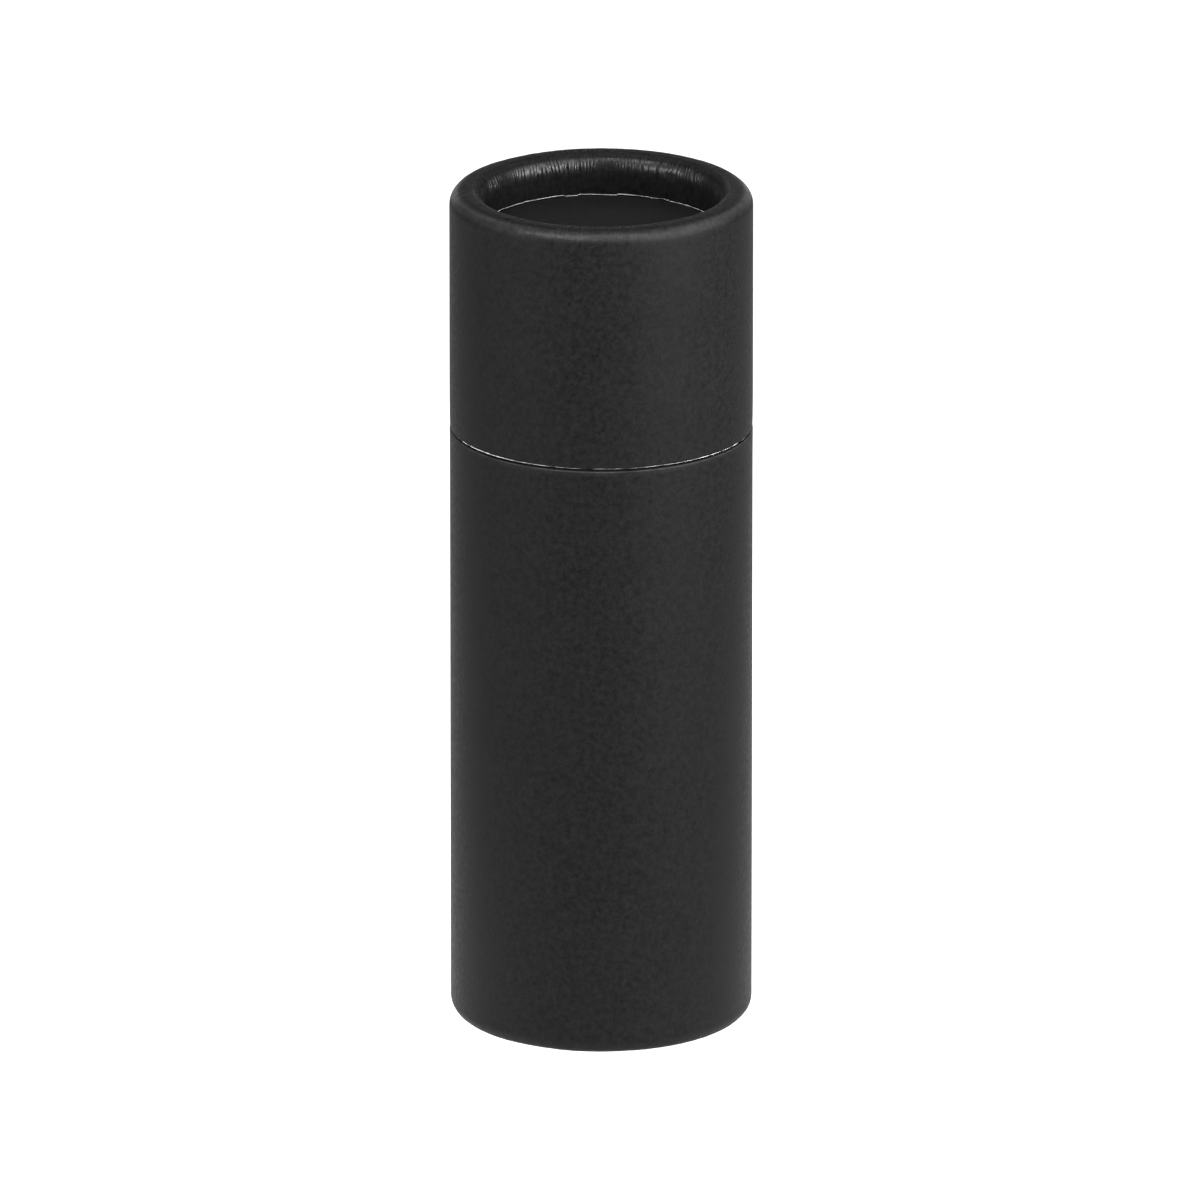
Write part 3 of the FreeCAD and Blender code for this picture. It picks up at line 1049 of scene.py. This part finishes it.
def build_floor():
    """A pale table lit from below, most under the tube so that no shadow shows, and least at the sides."""
    paint = Paint("floor")
    paint.set(Specular_IOR_Level=0.1, Roughness=0.9, Emission_Color=(1, 1, 1, 1))
    under = paint.spread(paint.distance(GLOW_CENTRE), GLOW_UNDER, 0.0, GLOW_NEAR, GLOW_FAR)
    sideways = paint.distance(Vector((0, 0, 0)), paint.stretched(1, 0, 0))
    along = paint.spread(sideways, GLOW_ALONG, GLOW_ASIDE, GLOW_SIDE_NEAR, GLOW_SIDE_FAR)
    paint.feed("Emission Strength", paint.combine("ADD", under, along))
    paint.feed("Base Color", paint.shade(paint.noise(*FLOOR_CLOUDS), *FLOOR_COLOURS))
    bpy.ops.mesh.primitive_circle_add(vertices=FLOOR_SIDES, radius=FLOOR_RADIUS, fill_type="NGON")
    floor = bpy.context.object
    floor.name = "floor"
    floor.data.materials.append(paint.material)


def soft_light(name, azimuth, elevation, distance, width, height, power):
    """A soft box that faces the tube. Azimuth 0 is at the camera and 90 is on its right."""
    data = bpy.data.lights.new(name, "AREA")
    data.shape = "RECTANGLE"
    data.size = width
    data.size_y = height
    data.energy = power
    lamp = bpy.data.objects.new(name, data)
    across = math.radians(azimuth)
    up = math.radians(elevation)
    towards = Vector((math.sin(across) * math.cos(up), -math.cos(across) * math.cos(up), math.sin(up)))
    lamp.location = Vector((0, 0, HEIGHT / 2)) + towards * distance
    lamp.rotation_euler = towards.to_track_quat("Z", "Y").to_euler()
    lamp.visible_camera = False
    bpy.context.scene.collection.objects.link(lamp)


def build_lights():
    world = bpy.data.worlds.new("studio")
    world.use_nodes = True
    background = world.node_tree.nodes["Background"]
    background.inputs["Color"].default_value = (1, 1, 1, 1)
    background.inputs["Strength"].default_value = WORLD_STRENGTH
    bpy.context.scene.world = world
    soft_light("overhead", **OVERHEAD)
    soft_light("right_strip", **RIGHT_STRIP)
    soft_light("left_strip", **LEFT_STRIP)
    soft_light("right_box", **RIGHT_BOX)
    soft_light("right_top", **RIGHT_TOP)
    soft_light("left_top", **LEFT_TOP)
    soft_light("left_box", **LEFT_BOX)
    soft_light("back_box", **BACK_BOX)
    for azimuth in BACK_TOP_SIDES:
        soft_light("back_top", azimuth, **BACK_TOP)


def build_camera():
    data = bpy.data.cameras.new("camera")
    data.sensor_width = SENSOR
    data.lens = SENSOR * PIXELS_PER_METRE * CAMERA_DISTANCE / IMAGE_PIXELS
    data.clip_end = CAMERA_REACH
    camera = bpy.data.objects.new("camera", data)
    back = Vector((0, -math.cos(CAMERA_PITCH), math.sin(CAMERA_PITCH)))
    camera.location = CAMERA_AIM + back * CAMERA_DISTANCE
    camera.rotation_euler = back.to_track_quat("Z", "Y").to_euler()
    bpy.context.scene.collection.objects.link(camera)
    bpy.context.scene.camera = camera
    bpy.context.scene.view_settings.view_transform = "Standard"


build_pieces()
build_floor()
build_lights()
build_camera()
